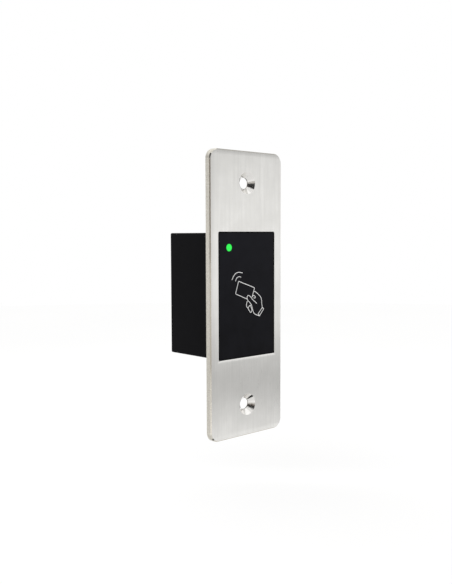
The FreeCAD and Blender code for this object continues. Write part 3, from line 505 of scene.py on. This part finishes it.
# The pictogram, in millimetres across and up from the faceplate's middle: a hand holds a card out
# to two radio waves. Each line is smooth or straight between its points.
PICTOGRAM = [
    # waves
    ("smooth", [(-8.3, 6.45), (-7.65, 7.55), (-6.6, 8.7), (-5.75, 9.1), (-4.6, 9.28), (-2.6, 9.0)]),
    ("smooth", [(-6.45, 5.9), (-5.75, 7.0), (-4.75, 7.5), (-3.4, 7.35)]),
    # card
    ("straight", [(0.0, -1.7), (-6.2, 0.65), (-6.35, 0.95), (-4.85, 5.4), (-4.5, 5.65),
                  (4.05, 2.75), (4.2, 2.45), (2.95, -0.85)]),
    # back of the hand
    ("smooth", [(3.8, 1.3), (5.0, 0.9), (6.25, 0.0), (7.6, -1.1), (8.3, -2.5), (8.45, -4.0),
                (8.75, -5.65)]),
    # cuff
    ("straight", [(6.35, -8.2), (8.75, -5.65), (9.6, -6.3)]),
    ("straight", [(9.6, -6.3), (7.1, -9.05), (6.35, -8.2)]),
    # palm, thumb and the first finger's edge
    ("smooth", [(7.1, -9.05), (5.2, -8.45), (4.0, -7.8), (3.1, -6.1), (2.6, -4.5), (1.5, -3.15),
                (0.6, -2.5), (0.0, -1.3), (0.25, -0.5), (0.9, -0.28), (2.2, -1.05), (3.2, -2.1),
                (5.5, -3.75)]),
    # fingertip on the card
    ("smooth", [(2.9, -1.0), (3.5, -0.5), (4.2, -0.65), (4.75, -1.15), (4.5, -1.55), (3.8, -1.45)]),
    # folded fingers
    ("smooth", [(0.1, -2.6), (-0.3, -3.6), (-0.2, -4.7), (0.5, -5.4), (1.05, -4.75), (1.9, -4.3)]),
    ("smooth", [(0.5, -5.4), (1.1, -6.35), (2.05, -7.25), (2.7, -6.8), (2.55, -5.7), (1.9, -4.4)]),
]


def linked(name, data):
    """A new object in the scene."""
    made = bpy.data.objects.new(name, data)
    bpy.context.scene.collection.objects.link(made)
    return made


def mesh_object(name, builder, material, solid=False):
    """A new object in the scene, with the mesh that a builder draws. Where that is a solid, its
    faces all look outwards."""
    mesh = bpy.data.meshes.new(name)
    bm = bmesh.new()
    builder(bm)
    if solid:
        bmesh.ops.recalc_face_normals(bm, faces=bm.faces)
    bm.to_mesh(mesh)
    bm.free()
    mesh.materials.append(material)
    return linked(name, mesh)


def piece(name, builder, slot, smooth=False):
    """A solid that rides on the reader, built in the reader's own frame."""
    made = mesh_object(name, builder, FINISHES[slot], solid=True)
    if smooth:
        made.data.shade_smooth()
        made.data.set_sharp_from_angle(angle=math.radians(SHARP_ANGLE))
    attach(made, "root")
    return made


def skin(bm, loops):
    """Faces from each loop of corners to the next, and over the first and the last."""
    for loop, following in zip(loops, loops[1:]):
        for index, corner in enumerate(loop):
            after = (index + 1) % len(loop)
            bm.faces.new((corner, loop[after], following[after], following[index]))
    bm.faces.new(loops[0])
    bm.faces.new(loops[-1])


def flowing(points, steps=8):
    """Points along a smooth curve through the given ones."""
    padded = [points[0] * 2 - points[1], *points, points[-1] * 2 - points[-2]]
    line = []
    for before, start, end, after in zip(padded, padded[1:], padded[2:], padded[3:]):
        for step in range(steps):
            t = step / steps
            line.append(0.5 * (2 * start + (end - before) * t
                               + (2 * before - 5 * start + 4 * end - after) * t ** 2
                               + (3 * start - before - 3 * end + after) * t ** 3))
    return [*line, points[-1]]


def draw_line(bm, line, back, front):
    """An inked line: a thin raised ribbon along the points, with round ends."""
    half = INK_WIDTH / 2
    runs = [(b - a).normalized() for a, b in zip(line, line[1:])]
    first, last = runs[0], runs[-1]
    # Each station is a point, the direction there and half the ribbon's width.
    stations = [(line[0] - first * half * math.sin(a), first, half * math.cos(a))
                for a in reversed(INK_CAP)]
    for index, point in enumerate(line):
        coming = runs[max(index - 1, 0)]
        going = runs[min(index, len(runs) - 1)]
        along = (coming + going).normalized()
        mitre = 1 / max(along.dot(going), 1 / MITRE_LIMIT)
        stations.append((point, along, half * mitre))
    stations += [(line[-1] + last * half * math.sin(a), last, half * math.cos(a))
                 for a in INK_CAP]
    loops = []
    for point, along, reach in stations:
        side = Vector((-along.y, along.x)) * reach
        left, right = point + side, point - side
        corners = [(left, front), (right, front), (right, back), (left, back)]
        loops.append([bm.verts.new((place.x, y, place.y)) for place, y in corners])
    skin(bm, loops)


def draw_pictogram(bm):
    front = PANEL_LOW.y - INK_THICKNESS
    for index, (kind, points) in enumerate(PICTOGRAM):
        line = [Vector(point) * MM for point in points]
        if kind == "smooth":
            line = flowing(line)
        draw_line(bm, line, PANEL_LOW.y, front - index * INK_STEP)


def thread_radius(along, turn, tip):
    """Radius of an M3 thread at a distance along it and from its tip, where turn is the share of
    a full turn."""
    from_root = abs((along / THREAD_PITCH - turn) % 1.0 - 0.5)
    flank = (from_root - THREAD_FLAT) / (0.5 - 2 * THREAD_FLAT)
    thread = STUD_RADIUS - THREAD_DEPTH * (1.0 - min(max(flank, 0.0), 1.0))
    chamfer = STUD_RADIUS - STUD_TIP + max(0.0, tip)
    return min(thread, chamfer)


def draw_stud(bm, across, up, root, end):
    """A weld stud: its flat foot, then an M3 thread with a chamfered tip."""
    start = root + STUD_FOOT
    rings = [(y, [STUD_FOOT_RADIUS] * THREAD_SIDES) for y in (root, start)]
    steps = round((end - start) / THREAD_PITCH * THREAD_RINGS)
    for step in range(steps + 1):
        y = start + (end - start) * step / steps
        turns = [side / THREAD_SIDES for side in range(THREAD_SIDES)]
        rings.append((y, [thread_radius(y - start, turn, end - y) for turn in turns]))
    loops = []
    for y, radii in rings:
        loop = []
        for side, radius in enumerate(radii):
            angle = 2 * math.pi * side / THREAD_SIDES
            x = across + radius * math.cos(angle)
            loop.append(bm.verts.new((x, y, up + radius * math.sin(angle))))
        loops.append(loop)
    skin(bm, loops)


def draw_studs(bm):
    low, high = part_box("faceplate_studs")
    across = high.x - STUD_FOOT_RADIUS
    up = high.z - STUD_FOOT_RADIUS
    for side in (-1, 1):
        for level in (-1, 1):
            draw_stud(bm, side * across, level * up, low.y, high.y)


def add_pieces():
    piece("card_pictogram", draw_pictogram, "panel_print")
    studs = piece("threaded_studs", draw_studs, "steel_fasteners", smooth=True)
    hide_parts("faceplate_studs")


# ---------------------------------------------------------------- studio
WHITE = (1.0, 1.0, 1.0)
BLACK = (0.0, 0.0, 0.0)

# The camera was solved from the edges of the faceplate and the box. It looks CAMERA_AIM degrees
# to the right of straight at the wall and CAMERA_DIP down, and leans CAMERA_ROLL.
CAMERA_PLACE = Vector((-0.21488, -0.22224, 0.02416))
CAMERA_AIM = 42.749
CAMERA_DIP = 4.276
CAMERA_ROLL = 0.198
CAMERA_LENS = 46.99
CAMERA_SENSOR = 36.0
CAMERA_CLIP = (0.01, 50.0)

FLOOR_DROP = 0.30
FLOOR_RADIUS = 4.0
FLOOR_SIDES = 96
FLOOR_GLOW = 0.76
FLOOR_GREYS = ((0.29, 0.29, 0.29), (0.31, 0.31, 0.31))

# Brightness of the tent at each elevation in degrees, lowest first; level beyond TENT_REACH.
TENT_REACH = 40
TENT = [(-40, 0.8), (-20, 0.95), (-15.5, 1.12), (-13.4, 1.14), (-12.7, 0.3), (-9.9, 0.29),
        (-8.4, 0.84), (-5.5, 1.02), (1.0, 1.05), (5.0, 0.93), (8.0, 0.75), (14, 0.5), (26, 0.55),
        (40, 0.85)]
TENT_TINT = (1.0, 0.995, 0.985)

# Name, azimuth, elevation, distance, width, height, watts.
SOFTBOXES = [
    ("key", 62, 45, 1.6, 1.6, 1.6, 2),
    ("rear", 180, 42, 1.6, 2.4, 2.0, 6),
]

# Cards for the steel to mirror: name, azimuth, elevation, width, height, colour. The camera sees
# the first four in the right-hand bevels and the sinks' right sides, the next in the lower left
# corner's bevel, and the last two in the sinks' lower left and left sides.
CARD_DISTANCE = 0.9
CARDS = [
    ("black_card", -41, 30, 18, 40, BLACK),
    ("brown_card", -45, 4.5, 15, 11, (0.11, 0.085, 0.07)),
    ("grey_card", -45, -6.5, 15, 11, (0.5, 0.48, 0.45)),
    ("light_card", -45, -15, 15, 6, (0.9, 0.89, 0.87)),
    ("corner_card", -5, -73, 22, 14, BLACK),
    ("top_card", 102, 46, 22, 22, (0.5, 0.5, 0.5)),
    ("side_card", 132, -4, 18, 26, BLACK),
]


def bearing(azimuth, elevation):
    """The direction from the reader towards azimuth, from the front to the right, and elevation."""
    a = math.radians(azimuth)
    e = math.radians(elevation)
    return Vector((math.sin(a) * math.cos(e), -math.cos(a) * math.cos(e), math.sin(e)))


def set_towards(item, azimuth, elevation, distance):
    """Puts a light or a card at a bearing from the reader, and turns it to the reader."""
    towards = bearing(azimuth, elevation)
    item.location = towards * distance
    item.rotation_euler = towards.to_track_quat("Z", "Y").to_euler()


def add_camera():
    data = bpy.data.cameras.new("camera")
    data.lens = CAMERA_LENS
    data.sensor_width = CAMERA_SENSOR
    data.clip_start, data.clip_end = CAMERA_CLIP
    camera = linked("camera", data)
    camera.location = CAMERA_PLACE
    aim = Euler((math.radians(90 - CAMERA_DIP), 0, math.radians(-CAMERA_AIM))).to_matrix()
    roll = Euler((0, 0, math.radians(-CAMERA_ROLL))).to_matrix()
    camera.rotation_euler = (aim @ roll).to_euler()
    bpy.context.scene.camera = camera


def add_world():
    """A soft tent. Its brightness by elevation is what lights the reader and what the steel
    mirrors; the camera sees plain white."""
    world = bpy.data.worlds.new("tent")
    world.use_nodes = True
    tent = Nodes(world.node_tree)
    tent.tree.nodes.clear()
    slope = tent.parts(tent.add("ShaderNodeTexCoord").outputs["Generated"])[2]
    reach = math.sin(math.radians(TENT_REACH))
    ramp = tent.add("ShaderNodeValToRGB", [tent.remap(slope, -reach, reach)])
    stops = ramp.color_ramp.elements
    while len(stops) < len(TENT):
        stops.new(0.5)
    for stop, (elevation, level) in zip(stops, TENT):
        stop.position = 0.5 + 0.5 * math.sin(math.radians(elevation)) / reach
        stop.color = (*(level * share for share in TENT_TINT), 1.0)
    lit = tent.add("ShaderNodeBackground", [ramp.outputs[0], 1.0]).outputs[0]
    seen = tent.add("ShaderNodeBackground", [WHITE, 1.0]).outputs[0]
    by_camera = tent.add("ShaderNodeLightPath").outputs["Is Camera Ray"]
    choose = tent.add("ShaderNodeMixShader", [by_camera, lit, seen])
    tent.add("ShaderNodeOutputWorld", [choose.outputs[0]])
    bpy.context.scene.world = world


def draw_floor(bm):
    bmesh.ops.create_circle(bm, cap_ends=True, segments=FLOOR_SIDES, radius=FLOOR_RADIUS)


def add_floor():
    """A wide pale floor, well below the reader, whose glow brings it up to the white behind it.
    The steel mirrors the tent, and not the floor."""
    pale = Finish("pale_floor", Specular_IOR_Level=0.0, Roughness=1.0,
                  Emission_Strength=FLOOR_GLOW)
    pale.set("Base Color", pale.mix(pale.noise(0.4, detail=3.0), *FLOOR_GREYS))
    pale.set("Emission Color", WHITE)
    floor = mesh_object("floor", draw_floor, pale.material)
    floor.location.z = PLATE_LOW.z - FLOOR_DROP
    floor.visible_glossy = False


def add_softbox(name, azimuth, elevation, distance, width, height, power):
    light = bpy.data.lights.new(name, "AREA")
    light.shape = "RECTANGLE"
    light.size = width
    light.size_y = height
    light.energy = power
    set_towards(linked(name, light), azimuth, elevation, distance)


def draw_card(bm):
    bmesh.ops.create_grid(bm, x_segments=1, y_segments=1, size=0.5)


def add_card(name, azimuth, elevation, width, height, glow):
    """A card that the camera doesn't see. Its width and height are the angles that it fills seen
    from the reader, and glow is its colour."""
    dull = Finish(name, Base_Color=BLACK, Roughness=1.0, Specular_IOR_Level=0.0,
                  Emission_Color=glow, Emission_Strength=1.0)
    card = mesh_object(name, draw_card, dull.material)
    set_towards(card, azimuth, elevation, CARD_DISTANCE)
    sides = [2 * CARD_DISTANCE * math.tan(math.radians(angle / 2)) for angle in (width, height)]
    card.scale = (*sides, 1)
    card.visible_camera = False


def add_studio():
    add_camera()
    add_world()
    add_floor()
    for softbox in SOFTBOXES:
        add_softbox(*softbox)
    for card in CARDS:
        add_card(*card)
    bpy.context.scene.view_settings.view_transform = "Standard"


finish_nodes()
add_pieces()
add_studio()
